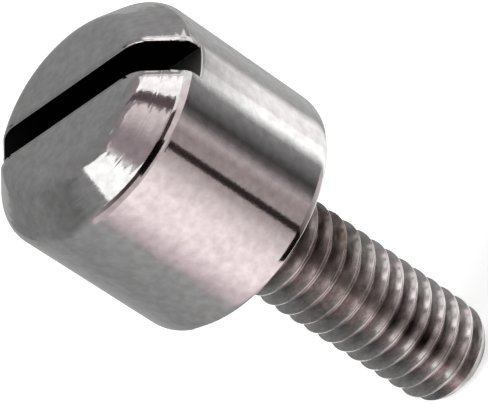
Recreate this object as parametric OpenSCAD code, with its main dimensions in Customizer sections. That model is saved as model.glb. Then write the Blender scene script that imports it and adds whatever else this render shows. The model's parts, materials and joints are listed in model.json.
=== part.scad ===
// Presser foot screw: one piece of steel, turned and plated, with a tall slotted head on a fine threaded shank.
// It stands on its threaded end with the head up. The origin is the middle of the seat under the head,
// Z runs up the screw's axis to the head, and the driver slot runs along X. Sizes are in millimetres.

/* [Head] */
// Diameter of the head
head_d = 8.25; // [6.5:0.05:10]
// Height of the head, from the seat to the flat top
head_h = 6.9; // [5:0.1:10]
// Diameter of the flat on top of the head
flat_d = 5.8; // [3.2:0.1:6.8]
// Drop of the sloping crown, from the flat top down to the side
crown_drop = 1.15; // [0.5:0.05:2.4]
// Radius of the crown's gentle arc
crown_r = 9; // [2:0.5:20]
// Chamfer round the seat's edge
seat_chamfer = 0.06; // [0.02:0.02:0.4]

/* [Driver slot] */
// Width of the slot
slot_w = 1.15; // [0.5:0.05:2]
// Depth of the slot, from the flat top to its floor
slot_depth = 1.55; // [0.6:0.05:3]

/* [Shank] */
// Length of the shank, from the seat to the tip
shank_len = 10; // [6:0.5:20]
// Length of the plain neck under the head
neck_len = 0.7; // [0.3:0.05:2]
// Height by which the neck's wall stands out past the thread's crests
neck_step = 0.03; // [0.02:0.01:0.2]

/* [Thread] */
// Diameter over the thread's crests
thread_d = 3.5; // [2.6:0.02:5]
// Pitch of the thread
pitch = 0.635; // [0.45:0.005:0.9]
// Height below the neck over which the thread runs out
runout_h = 0.6; // [0.3:0.05:1.2]
// Angle from the slot at which a turn of the thread starts
thread_turn = 70; // [0:5:355]
// Height of the chamfer at the tip
tip_chamfer_h = 0.75; // [0.3:0.05:1.2]
// Depth of the chamfer at the tip
tip_chamfer = 0.44; // [0.1:0.02:0.8]

/* [Hidden] */
$fn = 120;

head_r = head_d / 2;
flat_r = flat_d / 2;
crest_r = thread_d / 2;
neck_r = crest_r + neck_step;
steel = "silver";

// Room that a cutting shape is given past the surface it cuts
past = 1;

// The thread's section, as depths below the crest and heights along the axis:
// flanks at sixty degrees to each other, an eighth of the sharp form off the crest and a sixth off the root
flank_angle = 30;
crest_share = 1 / 8;
root_share = 1 / 6;
sharp_depth = pitch / (2 * tan(flank_angle));
thread_depth = sharp_depth * (1 - crest_share - root_share);
crest_w = pitch * crest_share;
flank_w = thread_depth * tan(flank_angle);
section = [
    [thread_depth, 0],
    [0, flank_w],
    [0, flank_w + crest_w],
    [thread_depth, 2 * flank_w + crest_w]
];

// The helix is stepped round each turn, and runs past the tip and past the seat
turn_steps = 32;
turns = ceil(shank_len / pitch) + 3;
steps = turns * turn_steps;
helix_start = -shank_len - 1.5 * pitch;

// Centre of the crown's arc, which passes through the rim of the flat top and the top of the side
crown_run = head_r - flat_r;
crown_chord = norm([crown_run, crown_drop]);
crown_inset = sqrt(pow(crown_r, 2) - pow(crown_chord / 2, 2)) / crown_chord;
crown_x = flat_r + crown_run / 2 - crown_inset * crown_drop;
crown_z = head_h - crown_drop / 2 - crown_inset * crown_run;

// Half section of the head: a straight side between the sloping crown above and the chamfered seat below
module head_section() {
    difference() {
        polygon([
            [0, 0],
            [head_r - seat_chamfer, 0],
            [head_r, seat_chamfer],
            [head_r, head_h],
            [0, head_h]
        ]);
        difference() {
            translate([flat_r, head_h - crown_drop])
                square([crown_run + past, crown_drop + past]);
            translate([crown_x, crown_z])
                circle(r = crown_r);
        }
    }
}

// Head, with the driver slot sawn right across it
module head() {
    difference() {
        rotate_extrude()
            head_section();
        translate([-head_r - past, -slot_w / 2, head_h - slot_depth])
            cube([head_d + 2 * past, slot_w, slot_depth + past]);
    }
}

// Plain neck between the seat and the thread, rooted in the head
module neck() {
    translate([0, 0, -neck_len])
        cylinder(h = neck_len + past, r = neck_r);
}

// Share of the thread's depth that is cut at a height: none at the neck, all of it below the run-out
function cut_share(z) = min(1, max(0, (-neck_len - z) / runout_h));

// A corner of the thread's section after some steps of the helix
function thread_point(step, corner) =
    let (
        angle = thread_turn + 360 * step / turn_steps,
        z = helix_start + pitch * step / turn_steps + corner[1],
        r = crest_r - corner[0] * cut_share(z)
    )
    [r * cos(angle), r * sin(angle), z];

// Two triangles between the edge a to b and the next edge along the helix, c to d
function thread_quad(a, b, c, d) = [[a, b, c], [b, d, c]];

// Right-handed thread as one closed body: three strips make each ridge, a fourth the root up to
// the next turn, and a fan about a point on the axis closes each end
module helix() {
    rows = len(section);
    last = rows - 1;
    points = [
        for (step = [0 : steps]) for (corner = section) thread_point(step, corner),
        [0, 0, helix_start],
        [0, 0, helix_start + turns * pitch]
    ];
    low_end = (steps + 1) * rows;
    high_end = low_end + 1;
    faces = [
        for (step = [0 : steps - 1]) for (side = [0 : last - 1])
            each thread_quad(
                step * rows + side, step * rows + side + 1,
                (step + 1) * rows + side, (step + 1) * rows + side + 1),
        for (step = [0 : steps - turn_steps - 1])
            each thread_quad(
                step * rows + last, (step + turn_steps) * rows,
                (step + 1) * rows + last, (step + turn_steps + 1) * rows),
        for (step = [0 : turn_steps - 1])
            [low_end, step * rows, (step + 1) * rows],
        for (step = [steps - turn_steps : steps - 1])
            [high_end, (step + 1) * rows + last, step * rows + last],
        [low_end, turn_steps * rows, for (side = [last : -1 : 0]) side],
        [high_end, (steps - turn_steps) * rows + last, for (side = [0 : last]) steps * rows + side]
    ];
    polyhedron(points, faces);
}

// The helix cut to length, with a flat end and a chamfer at the tip, and its top held inside the neck
module thread() {
    intersection() {
        helix();
        rotate_extrude()
            polygon([
                [0, -shank_len],
                [crest_r - tip_chamfer, -shank_len],
                [crest_r + past, tip_chamfer_h * (1 + past / tip_chamfer) - shank_len],
                [crest_r + past, -neck_len / 2],
                [0, -neck_len / 2]
            ]);
    }
}

module screw() {
    color(steel)
    union() {
        head();
        neck();
        thread();
    }
}

screw();
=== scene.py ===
import json
import math

import bmesh
import bpy
from mathutils import Matrix, Vector


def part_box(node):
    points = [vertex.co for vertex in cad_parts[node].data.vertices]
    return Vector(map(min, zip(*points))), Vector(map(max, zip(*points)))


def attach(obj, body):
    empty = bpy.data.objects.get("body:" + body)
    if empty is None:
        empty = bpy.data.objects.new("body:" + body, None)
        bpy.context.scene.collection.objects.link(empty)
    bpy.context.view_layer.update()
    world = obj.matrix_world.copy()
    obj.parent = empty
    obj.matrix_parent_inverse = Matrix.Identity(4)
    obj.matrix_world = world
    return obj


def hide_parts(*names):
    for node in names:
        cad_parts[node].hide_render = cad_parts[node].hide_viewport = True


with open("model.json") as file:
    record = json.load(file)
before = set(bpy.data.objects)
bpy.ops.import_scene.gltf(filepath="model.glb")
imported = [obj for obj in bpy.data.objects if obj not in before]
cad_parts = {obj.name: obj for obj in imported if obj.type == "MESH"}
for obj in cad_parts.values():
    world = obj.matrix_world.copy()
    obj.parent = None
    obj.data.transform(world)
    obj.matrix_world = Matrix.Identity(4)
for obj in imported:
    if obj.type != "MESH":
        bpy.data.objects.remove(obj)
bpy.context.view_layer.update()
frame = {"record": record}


# Head and neck: one bar of steel turned on a lathe, with the neck, the flat seat, the straight side,
# the sloping crown and the flat top cut in one setting. The crown was finished by hand and keeps faint
# rings, its two creases are broken with a polishing stick, and the seat's edge is chamfered and rolled.
MM = 0.001
low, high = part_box("screw")
mounts = {mount["name"]: mount for mount in frame["record"]["mounts"]}

head_radius = high.x
head_height = high.z
flat_radius = 2.9 * MM
crown_drop = 1.15 * MM
ring_steps = 40
ring_spacing = 0.3 * MM
ring_height = 0.0012 * MM
second_ring_share = 0.4
second_ring_ratio = 1.7
groove_share = 0.53
groove_half = 0.02 * MM
groove_depth = 0.003 * MM
seat_inset = 0.10 * MM
lip_rings = ((0.05, 0.05), (0.02, 0.13), (0.006, 0.22), (0, 0.32), (0, 0.42))
neck_radius = mounts["neck"]["dims"]["r_mm"] * MM
neck_length = mounts["neck"]["dims"]["length_mm"] * MM
runout_height = 0.6 * MM
runout_radius = 1.2 * MM
slot_floor = mounts["driver_slot"]["pos_m"][2]
head_sides = 160
shoulder_round = 0.22 * MM
shoulder_segments = 6
rim_round = 0.38 * MM
rim_segments = 5
beside_round = 0.1 * MM
ring_room = 0.05 * MM
below_slot = 0.15 * MM
close = 0.005 * MM

rim = Vector((flat_radius, head_height))
shoulder = Vector((head_radius, head_height - crown_drop))
slope = shoulder - rim
crown_out = Vector((-slope.y, slope.x)).normalized()

# Rings of the profile from the run-out up. A lip ring is how far in and how far up it lies, in mm
profile = [
    (runout_radius, -neck_length - runout_height),
    (neck_radius, -neck_length),
    (neck_radius, 0),
    (head_radius - seat_inset, 0),
]
profile += [(head_radius - inward * MM, up * MM) for inward, up in lip_rings]
profile += [
    (head_radius, slot_floor - below_slot),
    (head_radius, shoulder.y - shoulder_round - beside_round),
    tuple(shoulder),
]
ring_low = slope.length - shoulder_round - ring_room
ring_high = rim_round + ring_room
crown_line = []
for step in range(ring_steps + 1):
    down = ring_low + (ring_high - ring_low) * step / ring_steps
    swell = 2 * math.pi * down / ring_spacing
    rings = math.cos(swell) + second_ring_share * math.cos(second_ring_ratio * swell)
    crown_line.append((down, ring_height * rings))
groove = groove_share * slope.length
crown_line = [ring for ring in crown_line if abs(ring[0] - groove) > 2 * groove_half]
crown_line += [(groove + groove_half, 0), (groove, -groove_depth), (groove - groove_half, 0)]
for down, height in sorted(crown_line, reverse=True):
    profile.append(tuple(rim + down * slope.normalized() + height * crown_out))
profile.append(tuple(rim))
profile.append((flat_radius - rim_round - beside_round, head_height))


def turn_bar(name, sides, rings):
    """Turns a closed bar: a round face is extruded up the axis from ring to ring of its profile."""
    bpy.ops.object.select_all(action="DESELECT")
    bpy.ops.mesh.primitive_circle_add(
        vertices=sides, radius=rings[0][0], fill_type="NGON", location=(0, 0, rings[0][1]))
    bar = bpy.context.object
    bar.name = name
    bpy.ops.object.transform_apply(location=True, rotation=True, scale=True)
    bpy.ops.object.mode_set(mode="EDIT")
    bpy.ops.mesh.select_all(action="SELECT")
    for (radius, height), (next_radius, next_height) in zip(rings, rings[1:]):
        bpy.ops.mesh.extrude_region_move(
            TRANSFORM_OT_translate={"value": (0, 0, next_height - height)})
        growth = next_radius / radius
        bpy.ops.transform.resize(value=(growth, growth, 1), center_override=(0, 0, 0))
    bpy.ops.mesh.select_all(action="SELECT")
    bpy.ops.mesh.normals_make_consistent(inside=False)
    bpy.ops.object.mode_set(mode="OBJECT")
    return bar


def bevel_edges(piece, wanted, width, segments):
    """Bevels the edges of a piece whose two ends satisfy a test on their place."""
    bpy.ops.object.select_all(action="DESELECT")
    piece.select_set(True)
    bpy.context.view_layer.objects.active = piece
    bpy.ops.object.mode_set(mode="EDIT")
    bpy.ops.mesh.select_mode(type="EDGE")
    bpy.ops.mesh.select_all(action="DESELECT")
    mesh = bmesh.from_edit_mesh(piece.data)
    for edge in mesh.edges:
        edge.select_set(wanted(edge.verts[0].co, edge.verts[1].co))
    bmesh.update_edit_mesh(piece.data)
    bpy.ops.mesh.bevel(offset=width, offset_type="OFFSET", segments=segments, affect="EDGES")
    bpy.ops.object.mode_set(mode="OBJECT")


def on_ring(radius, height):
    """A test for edges that lie on one ring of a turned bar."""
    def wanted(start, end):
        return all(
            abs(corner.xy.length - radius) < close and abs(corner.z - height) < close
            for corner in (start, end))
    return wanted


screw = turn_bar("screw_body", head_sides, profile)
bevel_edges(screw, on_ring(shoulder.x, shoulder.y), shoulder_round, shoulder_segments)
bevel_edges(screw, on_ring(rim.x, rim.y), rim_round, rim_segments)


# Driver slot: sawn right across the head with a flat slitting saw after turning.
# Its edges are rounded over a little by polishing and by the blade of the driver.
slot_width = 1.15 * MM
saw_height = 4 * MM
slot_edge = 0.05 * MM
slot_segments = 3
merge_reach = 0.012 * MM
on_line = 0.004 * MM
outer_share = 0.98
sort_from = Vector((31.7, 12.9, 53.3)) * MM


def combine(piece, other, operation):
    """Combines a piece with another solid, which is then used up.

    The result is put in order by its distance from a point, so that the steps after it hardly depend
    on the order that the cut left."""
    bpy.ops.object.select_all(action="DESELECT")
    piece.select_set(True)
    bpy.context.view_layer.objects.active = piece
    cut = piece.modifiers.new("combine", "BOOLEAN")
    cut.operation = operation
    cut.solver = "EXACT"
    cut.object = other
    bpy.ops.object.modifier_apply(modifier=cut.name)
    bpy.data.objects.remove(other, do_unlink=True)
    bpy.context.scene.cursor.location = sort_from
    bpy.ops.object.mode_set(mode="EDIT")
    bpy.ops.mesh.select_all(action="SELECT")
    bpy.ops.mesh.sort_elements(type="CURSOR_DISTANCE", elements={"VERT", "EDGE", "FACE"})
    bpy.ops.object.mode_set(mode="OBJECT")


bpy.ops.object.select_all(action="DESELECT")
bpy.ops.mesh.primitive_cube_add(size=1, location=(0, 0, slot_floor + saw_height / 2))
saw = bpy.context.object
saw.scale = (3 * head_radius, slot_width, saw_height)
bpy.ops.object.transform_apply(location=True, rotation=True, scale=True)
combine(screw, saw, "DIFFERENCE")

bpy.ops.object.mode_set(mode="EDIT")
bpy.ops.mesh.select_all(action="SELECT")
bpy.ops.mesh.remove_doubles(threshold=merge_reach)
bpy.ops.object.mode_set(mode="OBJECT")


def on_slot_edge(start, end):
    """The slot's outer edges: along the top and crown, and round its two open ends."""
    on_wall = all(abs(abs(corner.y) - slot_width / 2) < on_line for corner in (start, end))
    on_floor = all(abs(corner.z - slot_floor) < on_line for corner in (start, end))
    above_floor = all(corner.z > slot_floor - on_line for corner in (start, end))
    if on_floor:
        return all(corner.xy.length > outer_share * head_radius for corner in (start, end)) and not on_wall
    return on_wall and above_floor and start.y * end.y > 0


bevel_edges(screw, on_slot_edge, slot_edge, slot_segments)


# Thread: a right-hand thread cut with a single-point tool up to a run-out under the neck, with narrow
# crests that the plating has rounded, and a tip that is turned down so that it enters its hole.
# Its section is the sixty-degree form, with an eighth of the sharp form off the crest.
crest_radius = mounts["thread"]["dims"]["r_mm"] * MM
pitch = 0.635 * MM
crest_width = pitch / 8
thread_depth = 0.3895 * MM
flank_width = 0.2249 * MM
root_width = pitch - crest_width - 2 * flank_width
root_radius = crest_radius - thread_depth
first_crest = -11.4464 * MM
thread_turns = 19
turn_steps = 64
thread_top = -0.3 * MM
tip_height = low.z
tip_radius = 1.12 * MM
tip_rise = 1.05 * MM
tip_steps = 8
tip_spare = 0.3 * MM
bar_sides = 96
bar_clear = 0.01 * MM
crest_round = 0.038 * MM
root_round = 0.045 * MM
round_segments = 3
merge_close = 0.001 * MM
at_corner = 0.002 * MM
cut_close = 0.0001 * MM
smooth_angle = 32

bpy.ops.object.select_all(action="DESELECT")
bpy.ops.mesh.primitive_plane_add(size=pitch, location=(root_radius, 0, first_crest - pitch / 2))
thread = bpy.context.object
thread.name = "thread"
bpy.ops.object.transform_apply(location=True, rotation=True, scale=True)
bpy.ops.object.mode_set(mode="EDIT")
bpy.ops.mesh.select_mode(type="VERT")
bpy.ops.mesh.select_all(action="SELECT")
bpy.ops.mesh.merge(type="CENTER")
for out, up in (
    (0, root_width / 2),
    (thread_depth, flank_width),
    (0, crest_width),
    (-thread_depth, flank_width),
    (0, root_width / 2),
):
    bpy.ops.mesh.extrude_region_move(TRANSFORM_OT_translate={"value": (out, 0, up)})


def round_corners(piece, radius, width):
    """Rounds the corners of a section that stand at one distance from the axis."""
    bpy.ops.mesh.select_all(action="DESELECT")
    mesh = bmesh.from_edit_mesh(piece.data)
    for corner in mesh.verts:
        at_radius = abs(corner.co.x - radius) < at_corner
        corner.select_set(at_radius and len(corner.link_edges) == 2)
    bmesh.update_edit_mesh(piece.data)
    bpy.ops.mesh.bevel(offset=width, segments=round_segments, affect="VERTICES")


round_corners(thread, crest_radius, crest_round)
round_corners(thread, root_radius, root_round)
bpy.ops.object.mode_set(mode="OBJECT")

helix = thread.modifiers.new("helix", "SCREW")
helix.axis = "Z"
helix.screw_offset = pitch
helix.iterations = thread_turns
helix.steps = turn_steps
helix.render_steps = turn_steps
bpy.ops.object.modifier_apply(modifier=helix.name)

bpy.ops.object.mode_set(mode="EDIT")
bpy.ops.mesh.select_all(action="SELECT")
bpy.ops.mesh.remove_doubles(threshold=merge_close)
for height, side in ((tip_height - tip_spare, -1), (thread_top, 1)):
    bpy.ops.mesh.select_all(action="SELECT")
    bpy.ops.mesh.bisect(
        plane_co=(0, 0, height), plane_no=(0, 0, side), use_fill=True, clear_outer=True,
        threshold=cut_close)
bpy.ops.mesh.select_all(action="SELECT")
bpy.ops.mesh.normals_make_consistent(inside=False)
bpy.ops.object.mode_set(mode="OBJECT")

bar_profile = []
for step in range(tip_steps + 1):
    angle = math.radians(90) * step / tip_steps
    bar_profile.append((
        tip_radius + (crest_radius + bar_clear - tip_radius) * math.sin(angle),
        tip_height + tip_rise * (1 - math.cos(angle)),
    ))
bar_profile.append((crest_radius + bar_clear, thread_top / 2))
bar = turn_bar("bar", bar_sides, bar_profile)
combine(thread, bar, "INTERSECT")
combine(screw, thread, "UNION")

bpy.ops.object.select_all(action="DESELECT")
screw.select_set(True)
bpy.context.view_layer.objects.active = screw
bpy.ops.object.mode_set(mode="EDIT")
bpy.ops.mesh.select_all(action="SELECT")
bpy.ops.mesh.remove_doubles(threshold=merge_close)
bpy.ops.mesh.normals_make_consistent(inside=False)
bpy.ops.object.mode_set(mode="OBJECT")
bpy.ops.object.shade_smooth_by_angle(angle=math.radians(smooth_angle))


# Nickel plate: bright nickel over turned steel. It gives the eye sharp but slightly grainy reflections
# and fine rings from the turning tool. The thread's roots are painted near black, as oil and painted shade,
# and the slot is painted dark as painted shade.
# Its patterns are in millimetres. The real grain is finer, and is drawn coarser here so that it shows.
nickel_light = "#e5e4e4"
nickel_warm = "#cdcbca"
# The film on the thread. It is thinner on the crests toward the slot, a painted highlight, and left off the
# side toward about -140 degrees, which is painted lighter
thread_film = "#c4bcb7"
thread_brown = "#544438"
# Near black in the thread's roots: oil and painted shade
thread_oil_and_shade = "#1a110b"
# The slot's walls and bed: painted shade inside the slot
slot_wall_shade = "#0b0a0a"
slot_bed_shade = "#7c7977"
bright_roughness = 0.09
oiled_roughness = 0.45

tool_feed = 0.07
feed_relief = 0.0015
tool_waver = 0.25
waver_relief = 0.003
grain_size = 0.09
grain_relief = 0.018
grain_depth = 0.05
mottle_size = 0.28
grit_size = 0.16
stain_size = 0.7
stain_draw = (1, 1, 4)
edge_roll = 0.25
edge_drop = 0.05
roll_start = -0.1
roll_full = 0.3
# The painted streak, a dark painted reflection down the thread: its direction across, its lean and its shift
painted_streak_across = -139.5
painted_streak_lean = 0.046
painted_streak_shift = 0.263

crest_reach = crest_radius / MM
stain_reach = 1.6
neck_end = -neck_length / MM
slot_half = slot_width / 2 / MM
slot_bottom = slot_floor / MM
shoulder_top = shoulder.y / MM


def linear(hex_colour):
    """An sRGB hex colour as linear red, green, blue and alpha."""
    channels = [int(hex_colour[i:i + 2], 16) / 255 for i in (1, 3, 5)]
    return [c / 12.92 if c <= 0.04045 else ((c + 0.055) / 1.055) ** 2.4 for c in channels] + [1.0]


def add_node(tree, kind, feeds=None, **settings):
    """Adds a node. Settings name its options or its sockets. Feeds give its sockets what they take:
    a value, another socket, or a node, which gives the first of its outputs that is in use."""
    node = tree.nodes.new(kind)
    for name, value in settings.items():
        if hasattr(node, name):
            setattr(node, name, value)
    for name, value in settings.items():
        if not hasattr(node, name):
            node.inputs[name.replace("_", " ")].default_value = value
    for socket, feed in (feeds or {}).items():
        if isinstance(feed, bpy.types.Node):
            feed = next(output for output in feed.outputs if output.enabled)
        if isinstance(feed, bpy.types.NodeSocket):
            tree.links.new(feed, node.inputs[socket])
        else:
            node.inputs[socket].default_value = feed
    return node


def toward(degrees, rise=0.0):
    """A direction round the screw's axis, in degrees from the slot, with a rise."""
    return (math.cos(math.radians(degrees)), math.sin(math.radians(degrees)), rise)


plate = bpy.data.materials.new("nickel plated steel")
plate.use_nodes = True
tree = plate.node_tree
tree.nodes.clear()
place = add_node(tree, "ShaderNodeTexCoord").outputs["Object"]
place = add_node(tree, "ShaderNodeVectorMath", {0: place, "Scale": 1 / MM}, operation="SCALE")
axes = add_node(tree, "ShaderNodeSeparateXYZ", {0: place})
height = axes.outputs["Z"]
from_middle = add_node(tree, "ShaderNodeMath", {0: axes.outputs["Y"]}, operation="ABSOLUTE")
out = add_node(tree, "ShaderNodeCombineXYZ", {"X": axes.outputs["X"], "Y": axes.outputs["Y"]})
reach = add_node(tree, "ShaderNodeVectorMath", {0: out}, operation="LENGTH")
along = add_node(tree, "ShaderNodeMath", {0: reach, 1: height}, operation="SUBTRACT")

# Rings from the turning tool's feed, a slower waver of the tool, and the plating's own fine grain
feed_marks = add_node(
    tree, "ShaderNodeTexNoise", {"W": along}, noise_dimensions="1D", Scale=1 / tool_feed, Detail=1.0)
relief = add_node(
    tree, "ShaderNodeBump", {"Height": feed_marks}, Strength=feed_relief, Distance=tool_feed * MM)
waver = add_node(
    tree, "ShaderNodeTexNoise", {"W": along}, noise_dimensions="1D", Scale=1 / tool_waver, Detail=1.0)
relief = add_node(
    tree, "ShaderNodeBump", {"Height": waver, "Normal": relief}, Strength=waver_relief,
    Distance=tool_waver * MM)
grain = add_node(
    tree, "ShaderNodeTexNoise", {"Vector": place}, noise_dimensions="3D", Scale=1 / grain_size, Detail=2.0)
relief = add_node(
    tree, "ShaderNodeBump", {"Height": grain, "Normal": relief}, Strength=grain_relief,
    Distance=grain_depth * MM)

# Polishing has rolled the slot's edges over above the shoulder, a little wider than their bevel
beside_slot = add_node(
    tree, "ShaderNodeMapRange", {"Value": from_middle}, interpolation_type="SMOOTHERSTEP",
    From_Min=slot_half + edge_roll, From_Max=slot_half)
on_top = add_node(
    tree, "ShaderNodeMapRange", {"Value": height}, interpolation_type="SMOOTHSTEP",
    From_Min=shoulder_top + roll_start, From_Max=shoulder_top + roll_full)
roll = add_node(tree, "ShaderNodeMath", {0: beside_slot, 1: on_top}, operation="MULTIPLY")
relief = add_node(
    tree, "ShaderNodeBump", {"Height": roll, "Normal": relief}, invert=True, Strength=1.0,
    Distance=edge_drop * MM)

# Patterns in the finish: a mottle all over the nickel, and on the thread a grit and uneven stains
# that the screw's turning has drawn out round it. A dark painted reflection runs down the thread as a streak
# and leans a little
mottle = add_node(
    tree, "ShaderNodeTexNoise", {"Vector": place}, noise_dimensions="3D", Scale=1 / mottle_size, Detail=5.0)
drawn_out = add_node(tree, "ShaderNodeVectorMath", {0: place, 1: stain_draw}, operation="MULTIPLY")
grit = add_node(
    tree, "ShaderNodeTexNoise", {"Vector": drawn_out}, noise_dimensions="3D", Scale=1 / grit_size, Detail=2.0)
stain = add_node(
    tree, "ShaderNodeTexNoise", {"Vector": drawn_out}, noise_dimensions="3D", Scale=1 / stain_size,
    Detail=4.0)
# Distance from the line of the painted streak, a dark painted reflection
painted_streak_distance = add_node(
    tree, "ShaderNodeVectorMath", {0: place, 1: toward(painted_streak_across, painted_streak_lean)}, operation="DOT_PRODUCT")
painted_streak_distance = add_node(tree, "ShaderNodeMath", {0: painted_streak_distance, 1: painted_streak_shift}, operation="ADD")
painted_streak_distance = add_node(tree, "ShaderNodeMath", {0: painted_streak_distance}, operation="ABSOLUTE")

# Shares from none to all, each between two values of a measure
share = {}
for name, measure, none, full in (
    ("mottle", mottle, 0.3, 0.7),
    ("grit", grit, 0.35, 0.65),
    ("below_neck", height, neck_end, neck_end - 0.3),
    ("crest", reach, crest_reach - 0.2, crest_reach - 0.12),
    ("root", reach, crest_reach - 0.08, crest_reach - 0.2),
    # The painted streak, a dark painted reflection, and the heights where its roots are darkest
    ("painted_streak", painted_streak_distance, 0.5, 0.1),
    ("painted_streak_low", height, -5.4, -6.4),
    ("painted_streak_low_end", height, -8.7, -7.9),
    ("between_walls", from_middle, slot_half + 0.004, slot_half + 0.001),
    ("above_bed", height, slot_bottom - 0.02, slot_bottom - 0.01),
    ("on_bed", height, slot_bottom + 0.02, slot_bottom + 0.01),
):
    share[name] = add_node(tree, "ShaderNodeMapRange", {"Value": measure}, From_Min=none, From_Max=full)
share["uneven"] = add_node(
    tree, "ShaderNodeMapRange", {"Value": stain}, From_Min=0.35, From_Max=0.65, To_Min=0.65, To_Max=1.0)

# Sides of the thread: how far a place has to lie toward a direction, in mm
for name, direction, none, full in (
    # The side of the painted streak
    ("painted_streak_side", -49.5, 0.3, 0.6),
    # The sides whose roots are painted near black, as oil and painted shade
    ("oil_and_shade_side", -49.5, 0.1, 0.9),
    ("back_side", 130.5, 0.1, 0.9),
    ("rubbed_side", -46, 1.35, 1.6),
    # The side that keeps the film; the side away from it is painted lighter
    ("side_not_painted_lighter", -20, -0.6, 0.4),
    ("black_side", 0, 0.4, 1.3),
    # The side whose crests are a painted highlight
    ("crest_highlight_side", 0, 1.0, 1.4),
):
    lean = add_node(tree, "ShaderNodeVectorMath", {0: place, 1: toward(direction)}, operation="DOT_PRODUCT")
    share[name] = add_node(tree, "ShaderNodeMapRange", {"Value": lean}, From_Min=none, From_Max=full)

# Soft patches on the thread, each with its middle in a direction and at a height. The first two are painted
# reflections, where the roots are painted lighter and the first is also browned; the last is a brown patch
for name, direction, middle_height, edge, core in (
    ("painted_reflection_patch", -66, -3.9, 2.2, 0.6),
    ("painted_reflection_tip", -60, -9.1, 1.3, 0.5),
    # A brown patch high on the thread toward the slot
    ("brown_patch", 6, -2.6, 2.4, 0.8),
):
    middle = stain_reach * Vector(toward(direction))
    middle.z = middle_height
    distance = add_node(tree, "ShaderNodeVectorMath", {0: place, 1: middle}, operation="DISTANCE")
    share[name] = add_node(tree, "ShaderNodeMapRange", {"Value": distance}, From_Min=edge, From_Max=core)

# What the layers come to: a film, thinner on the crests toward the slot as a painted highlight and left off
# the side toward about -140 degrees, which is painted lighter; brown in a patch, in the first painted
# reflection, down the painted streak and at the back; the roots painted near black as oil and painted shade,
# lighter in the painted reflections and darkest low in the painted streak; the slot's painted shade; and last
# how dull all of these leave the metal
for name, operation, *terms in (
    ("oil_and_shade_side", "MAXIMUM", "oil_and_shade_side", "back_side"),
    ("side_not_painted_lighter", "MAXIMUM", "side_not_painted_lighter", "back_side"),
    ("painted_crest_highlight", "MULTIPLY", "crest", "crest_highlight_side"),
    ("film_and_painted_light", "MULTIPLY_ADD", "painted_crest_highlight", -0.5, 1),
    ("film_and_painted_light", "MULTIPLY", "film_and_painted_light", "grit"),
    ("film_and_painted_light", "MULTIPLY", "film_and_painted_light", "side_not_painted_lighter"),
    ("film_and_painted_light", "MULTIPLY", "film_and_painted_light", "below_neck"),
    ("painted_streak", "MULTIPLY", "painted_streak", "painted_streak_side"),
    ("brown", "MULTIPLY", "brown_patch", 0.85),
    ("painted_streak_brown", "MULTIPLY", "painted_streak", 0.65),
    ("brown", "MAXIMUM", "brown", "painted_streak_brown"),
    ("reflection_patch_brown", "MULTIPLY", "painted_reflection_patch", 0.42),
    ("brown", "MAXIMUM", "brown", "reflection_patch_brown"),
    ("back_brown", "MULTIPLY", "back_side", 0.35),
    ("brown", "MAXIMUM", "brown", "back_brown"),
    ("brown", "MULTIPLY", "brown", "uneven"),
    ("brown", "MULTIPLY", "brown", "below_neck"),
    ("painted_streak_low", "MULTIPLY", "painted_streak_low", "painted_streak_low_end"),
    ("painted_streak_low", "MULTIPLY", "painted_streak_low", "painted_streak"),
    ("painted_streak_low", "MULTIPLY", "painted_streak_low", "uneven"),
    ("oil_and_shade", "MULTIPLY_ADD", "painted_reflection_patch", -0.55, 0.55),
    ("oil_and_shade", "MULTIPLY_ADD", "black_side", 0.3, "oil_and_shade"),
    ("oil_and_shade", "MULTIPLY_ADD", "painted_streak", -0.35, "oil_and_shade"),
    ("oil_and_shade", "MULTIPLY_ADD", "painted_reflection_tip", -0.5, "oil_and_shade"),
    ("oil_and_shade", "MULTIPLY", "oil_and_shade", "uneven"),
    ("oil_and_shade", "MULTIPLY_ADD", "painted_streak_low", 0.6, "oil_and_shade"),
    ("oil_and_shade", "MULTIPLY", "oil_and_shade", "oil_and_shade_side"),
    ("oil_and_shade", "MULTIPLY", "oil_and_shade", "root"),
    ("oil_and_shade", "MULTIPLY", "oil_and_shade", "below_neck"),
    ("painted_slot_shade", "MULTIPLY", "between_walls", "above_bed"),
    ("rubbed", "MULTIPLY", "rubbed_side", 0.35),
    ("painted_streak_dull", "MULTIPLY", "painted_streak", 0.7),
    ("dull", "MAXIMUM", "rubbed", "painted_streak_dull"),
    ("dull", "MAXIMUM", "dull", 0.1),
    ("dull", "MULTIPLY", "dull", "below_neck"),
    ("dull", "MAXIMUM", "dull", "oil_and_shade"),
    ("dull", "MAXIMUM", "dull", "painted_slot_shade"),
):
    feeds = {socket: share[term] if isinstance(term, str) else term for socket, term in enumerate(terms)}
    share[name] = add_node(tree, "ShaderNodeMath", feeds, operation=operation, use_clamp=True)

# Each layer lies over the colour before it: the mottle, the brown, and the film and roots with their painted
# light and shade. A colour mix has its colours in sockets 6 and 7
colour = linear(nickel_light)
for name, layer_colour in (
    ("mottle", nickel_warm),
    ("film_and_painted_light", thread_film),
    ("brown", thread_brown),
    ("oil_and_shade", thread_oil_and_shade),
):
    colour = add_node(
        tree, "ShaderNodeMix", {0: share[name], 6: colour, 7: linear(layer_colour)}, data_type="RGBA")
# The slot's painted shade: near-black walls and a dark grey bed
slot_shade_colour = add_node(
    tree, "ShaderNodeMix", {0: share["on_bed"], 6: linear(slot_wall_shade), 7: linear(slot_bed_shade)}, data_type="RGBA")
colour = add_node(
    tree, "ShaderNodeMix", {0: share["painted_slot_shade"], 6: colour, 7: slot_shade_colour}, data_type="RGBA")
roughness = add_node(
    tree, "ShaderNodeMapRange", {"Value": share["dull"]}, To_Min=bright_roughness, To_Max=oiled_roughness)
metal = add_node(
    tree, "ShaderNodeBsdfPrincipled", {"Base Color": colour, "Roughness": roughness, "Normal": relief},
    Metallic=1.0)
add_node(tree, "ShaderNodeOutputMaterial", {"Surface": metal})

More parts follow.
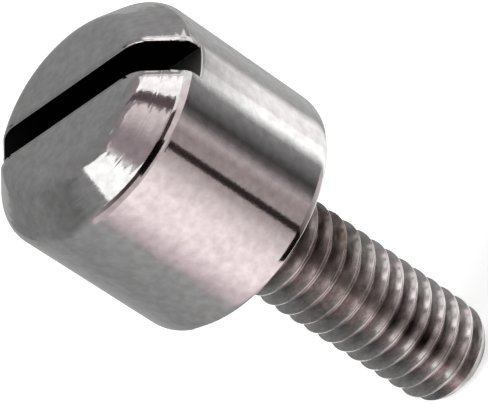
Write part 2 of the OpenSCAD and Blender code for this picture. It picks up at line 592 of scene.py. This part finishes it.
screw.data.materials.clear()
screw.data.materials.append(plate)
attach(screw, "root")
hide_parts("screw")


# Floor: a plain white sheet that keeps the screw's soft shadow. To the camera and in the metal
# it also glows a little of its own, so that it reads as white paper.
floor_size = 3.0
paper_white = "#e7e7e7"
paper_glow = 0.62


def seen_directly(tree):
    """One for what the camera sees, straight or by way of metal or glass, and nothing for other light."""
    rays = add_node(tree, "ShaderNodeLightPath").outputs
    seen = add_node(
        tree, "ShaderNodeMath", {0: rays["Is Camera Ray"], 1: rays["Is Glossy Ray"]}, operation="MAXIMUM")
    return add_node(
        tree, "ShaderNodeMath", {0: seen, 1: rays["Is Transmission Ray"]}, operation="MAXIMUM")


bpy.ops.object.select_all(action="DESELECT")
bpy.ops.mesh.primitive_plane_add(size=floor_size, location=(0, 0, low.z))
floor = bpy.context.object
floor.name = "floor"
paper = bpy.data.materials.new("white paper")
paper.use_nodes = True
tree = paper.node_tree
tree.nodes.clear()
seen = seen_directly(tree)
glow_level = add_node(tree, "ShaderNodeMath", {0: seen, 1: paper_glow}, operation="MULTIPLY")
glow = add_node(tree, "ShaderNodeEmission", {"Strength": glow_level}, Color=linear("#ffffff"))
matt = add_node(tree, "ShaderNodeBsdfDiffuse", Color=linear(paper_white))
both = add_node(tree, "ShaderNodeAddShader", {0: glow, 1: matt})
add_node(tree, "ShaderNodeOutputMaterial", {"Surface": both})
floor.data.materials.append(paper)


# Boards round the screw: the grey, pale and black boards that a photographer lays, stands and hangs
# round bright metal so that it shows its shape. They glow of their own, though they are no lamps, and are
# seen only in the metal: they are painted reflections.
board_gap = 0.05 * MM
board_steps = 12


def sweep_board(name, first, last, start, end, colours, strengths=(1.0, 1.0), fade=(24, 31)):
    """Sweeps an edge round the screw's axis between two directions, in degrees, to a glowing board.

    Its colour runs from the first direction to the last. Its strength fades with the way out over the
    floor and up a board, between two distances in mm."""
    bpy.ops.object.select_all(action="DESELECT")
    bpy.ops.mesh.primitive_plane_add(size=MM, location=(0, 0, 0))
    board = bpy.context.object
    board.name = name
    bpy.ops.object.mode_set(mode="EDIT")
    bpy.ops.mesh.select_mode(type="VERT")
    bpy.ops.mesh.select_all(action="SELECT")
    bpy.ops.mesh.merge(type="CENTER")
    bpy.ops.transform.translate(value=first)
    bpy.ops.mesh.extrude_region_move(TRANSFORM_OT_translate={"value": last - first})
    bpy.ops.mesh.select_all(action="SELECT")
    bpy.ops.mesh.spin(steps=board_steps, angle=math.radians(end - start), center=(0, 0, 0), axis=(0, 0, -1))
    bpy.ops.object.mode_set(mode="OBJECT")
    board.rotation_euler.z = math.radians(start)

    shade = bpy.data.materials.new(name)
    shade.use_nodes = True
    tree = shade.node_tree
    tree.nodes.clear()
    spot = add_node(tree, "ShaderNodeTexCoord").outputs["Object"]
    axes = add_node(tree, "ShaderNodeSeparateXYZ", {0: spot}).outputs
    turn = add_node(tree, "ShaderNodeMath", {0: axes["Y"], 1: axes["X"]}, operation="ARCTAN2")
    across = add_node(
        tree, "ShaderNodeMapRange", {"Value": turn}, From_Min=0, From_Max=math.radians(end - start))
    colour = add_node(
        tree, "ShaderNodeMix", {0: across, 6: linear(colours[0]), 7: linear(colours[-1])}, data_type="RGBA")
    out = add_node(tree, "ShaderNodeCombineXYZ", {"X": axes["X"], "Y": axes["Y"]})
    out = add_node(tree, "ShaderNodeVectorMath", {0: out}, operation="LENGTH")
    way = add_node(tree, "ShaderNodeMath", {0: out, 1: axes["Z"]}, operation="ADD")
    strength = add_node(
        tree, "ShaderNodeMapRange", {"Value": way},
        From_Min=fade[0] * MM + low.z, From_Max=fade[1] * MM + low.z,
        To_Min=strengths[0], To_Max=strengths[1])
    light = add_node(tree, "ShaderNodeEmission", {"Color": colour, "Strength": strength})
    add_node(tree, "ShaderNodeOutputMaterial", {"Surface": light})
    board.data.materials.append(shade)
    board.visible_camera = False
    board.visible_diffuse = False
    board.visible_shadow = False
    board.visible_transmission = False


# Boards on the floor, which the straight side mirrors: each one is a band down the side
for name, near, far, start, end, colours, strengths in (
    ("grey_back_left", 12, 160, 130, 165, ("#b4b4b4", "#a6a6a6"), (1, 1)),
    ("grey_left", 12, 160, 165, 200, ("#a6a6a6", "#949494"), (1, 1)),
    ("grey_side", 3, 160, -160, -117, ("#949494", "#a8a8a8"), (1, 1)),
    ("pale_edge", 3, 139, -117, -103, ("#a8a4a5", "#ecd8dc"), (1, 1)),
    ("pale_rise", 3, 139, -103, -88, ("#d6c5ca", "#ffeef0"), (1.2, 1.2)),
    ("pale", 3, 139, -88, -68, ("#ffeef0",), (1.2, 1.2)),
    ("pale_fall", 3, 139, -68, -53, ("#ffeef0", "#ddd0d0"), (1.2, 1.2)),
    ("grey_front", 3, 139, -53, -36.8, ("#ddd0d0", "#a09393"), (1.2, 1.2)),
    ("black_strip", 3, 50, -36.8, -30.4, ("#2b2222",), (1, 1)),
    ("strip_beyond", 50, 139, -36.8, -30.4, ("#b2a5a5",), (1, 1)),
    ("rose", 3, 139, -30.4, -20, ("#b0a3a3", "#a39696"), (1, 1)),
    ("rose_rise", 3, 139, -20, -13, ("#a39696", "#c3b7b8"), (1, 1)),
    ("dark_in", 3, 139, -13, -5, ("#c3b7b8", "#6a6465"), (1, 1)),
    ("dark", 3, 139, -5, 1, ("#6a6465", "#464243"), (1, 1)),
    ("dark_out", 3, 139, 1, 9, ("#464243", "#706e6f"), (1, 1)),
    ("dark_fade", 3, 139, 9, 21, ("#706e6f", "#979596"), (1, 1)),
    ("white_in", 3, 139, 21, 31, ("#858585", "#ffffff"), (1.45, 0.72)),
    ("white", 3, 139, 31, 40, ("#ffffff", "#fdfafa"), (1.45, 0.62)),
    ("light", 3, 139, 40, 59, ("#fdfafa",), (1.2, 0.42)),
    ("light_out", 3, 139, 59, 67, ("#fdfafa", "#b0afaf"), (1.1, 0.8)),
    ("grey_right", 12, 160, 67, 88, ("#b2b1b1", "#c0c0c0"), (1, 1)),
    ("grey_back_right", 12, 160, 88, 130, ("#c0c0c0", "#a4a4a4"), (1, 1)),
):
    height = low.z + board_gap
    sweep_board(
        name, Vector((near * MM, 0, height)), Vector((far * MM, 0, height)), start, end, colours, strengths)

# Pieces that lie on those boards: a foot on the black strip, dark and light sheets close round the shank,
# and a shaded and a bright foot round the tip. The shaded foot is a painted shadow of the screw round its
# tip as the metal mirrors it, and the bright foot a painted highlight on the tip's edge.
for name, near, far, start, end, colours in (
    ("strip_foot", 38, 50, -40.5, -30.4, ("#302626",)),
    ("shaded_foot", 1.2, 3.2, -240, -85, ("#5c5855", "#ecebea")),
    ("dark_foot", 3.2, 6, -66, -16, ("#2e2320",)),
    ("black_sheet", 6, 15.5, -62, -33, ("#140e0e",)),
    ("brown_sheet", 6, 15.5, -33, 0, ("#5c5252", "#c8bcbc")),
    ("light_sheet", 3.2, 15.5, 0, 21, ("#c8bcbc", "#d8d0d0")),
    ("bright_foot", 1.2, 3.2, -85, 110, ("#ffffff",)),
):
    height = low.z + 2 * board_gap
    sweep_board(
        name, Vector((near * MM, 0, height)), Vector((far * MM, 0, height)), start, end, colours)

# Grey boards that stand behind, which the flat top and the far half of the crown mirror
wall_reach = 160 * MM
wall_height = 280 * MM
for name, start, end, colours, strengths in (
    ("wall_right", 60, 100, ("#979696", "#9e9e9e"), (1, 1)),
    ("wall_back_right", 100, 130, ("#9e9e9e", "#929292"), (1, 1)),
    ("wall_back", 130, 180, ("#929292", "#848484"), (1, 1)),
    ("wall_left", 180, 215, ("#848484", "#767676"), (1.4, 1)),
    ("wall_front_left", 215, 244, ("#767676", "#9a9a9a"), (1.4, 1)),
):
    sweep_board(
        name, Vector((wall_reach, 0, low.z)), Vector((wall_reach, 0, wall_height)), start, end, colours,
        strengths, (160, 280))

# Cards that hang over the screw, between two heights in degrees: those that the near half of the
# crown mirrors, the dark shape of the camera that shows in the crease, and a canopy over all
for name, away, bottom, top, lean, start, end, colours, strength in (
    ("white_left", 100, 44, 68, -44, -104, -53, ("#ffffff",), 1.4),
    ("white_left_fade", 102, 51, 75, 0, -78, -66, ("#f0eaea", "#a89ca0"), 1.0),
    ("rose_left", 104, 51, 75, 0, -80, -40, ("#9c8f94",), 1.0),
    ("rose_right", 104, 51, 75, 0, -40, 3, ("#9c8f94", "#f8eaea"), 1.0),
    ("dark_right", 100, 44, 76, 70, -3, 13, ("#5c4e52",), 1.0),
    ("white_right", 102, 34, 64, 0, 10, 36, ("#fffbfb",), 1.38),
    ("white_right_fade", 102, 28, 54, 0, 36, 47, ("#fff2f4", "#a39395"), 1.0),
    ("light_far", 102, 12, 36, 0, 61, 70, ("#fff6f6",), 1.0),
    ("camera_dark", 90, 12, 48, 0, -66, -33, ("#0c0808",), 1.0),
    ("camera_arm_left", 92, 24, 45, 0, -120, -84, ("#a89c9c", "#4a3c3c"), 1.0),
    ("camera_arm_right", 92, 24, 45, 0, -84, -6, ("#4a3c3c",), 1.0),
    ("horizon_left", 140, -8, 30, 0, -120, -45, ("#cfc1c3",), 1.0),
    ("horizon_right", 140, -8, 30, 0, -45, 20, ("#cfc1c3", "#fbeef0"), 1.0),
    ("canopy_left", 150, 58, 89, 0, 130, 240, ("#8c8c8c", "#8a8889"), 1.0),
    ("canopy_front", 150, 46, 89, 0, -120, 10, ("#8a8889", "#9c8f94"), 1.0),
    ("canopy_right", 150, 58, 89, 0, 10, 130, ("#9c8f94", "#8c8c8c"), 1.0),
):
    low_edge, high_edge = (
        away * MM * Vector((math.cos(angle), 0, math.sin(angle)))
        for angle in (math.radians(bottom), math.radians(top)))
    high_edge.rotate(Matrix.Rotation(math.radians(lean), 3, "Z"))
    sweep_board(name, low_edge, high_edge, start, end, colours, (strength, strength))


# Light: an even white surround and one large soft lamp overhead, which leaves a soft shadow.
# The metal doesn't mirror the lamp.
lamp_place = Vector((-0.06, -0.10, 0.25))
lamp_size = 0.22
lamp_power = 0.45
surround_level = 0.45
bpy.ops.object.select_all(action="DESELECT")
bpy.ops.object.light_add(type="AREA", location=lamp_place)
lamp = bpy.context.object
lamp.data.shape = "DISK"
lamp.data.size = lamp_size
lamp.data.energy = lamp_power
lamp.rotation_euler = (-lamp_place).to_track_quat("-Z", "Y").to_euler()
lamp.visible_glossy = False

world = bpy.data.worlds.new("white surround")
bpy.context.scene.world = world
world.use_nodes = True
tree = world.node_tree
tree.nodes.clear()
seen = seen_directly(tree)
level = add_node(tree, "ShaderNodeMapRange", {"Value": seen}, To_Min=surround_level, To_Max=1.0)
sky = add_node(tree, "ShaderNodeBackground", {"Strength": level}, Color=linear("#ffffff"))
add_node(tree, "ShaderNodeOutputWorld", {"Surface": sky})


# Camera: a long lens above the head, turned so that the screw lies from upper left to lower right.
# Its place, turn and lens were fitted to the photograph's outline.
view_azimuth = 39.34
view_elevation = 31.54
view_roll = -56.23
view_distance = 112.45 * MM
view_aim = Vector((0.388, 0.233, -0.107)) * MM
lens_length = 272.26
sensor_width = 36
azimuth = math.radians(view_azimuth)
elevation = math.radians(view_elevation)
away = Vector((
    math.cos(elevation) * math.sin(azimuth),
    -math.cos(elevation) * math.cos(azimuth),
    math.sin(elevation),
))
bpy.ops.object.camera_add(location=view_aim + view_distance * away)
camera = bpy.context.object
turn = (
    Matrix.Rotation(azimuth, 3, "Z")
    @ Matrix.Rotation(math.radians(90) - elevation, 3, "X")
    @ Matrix.Rotation(math.radians(view_roll), 3, "Z"))
camera.rotation_euler = turn.to_euler()
camera.data.sensor_width = sensor_width
camera.data.lens = lens_length
camera.data.clip_start = 0.001
camera.data.clip_end = 10
bpy.context.scene.camera = camera
bpy.context.scene.view_settings.view_transform = "Standard"
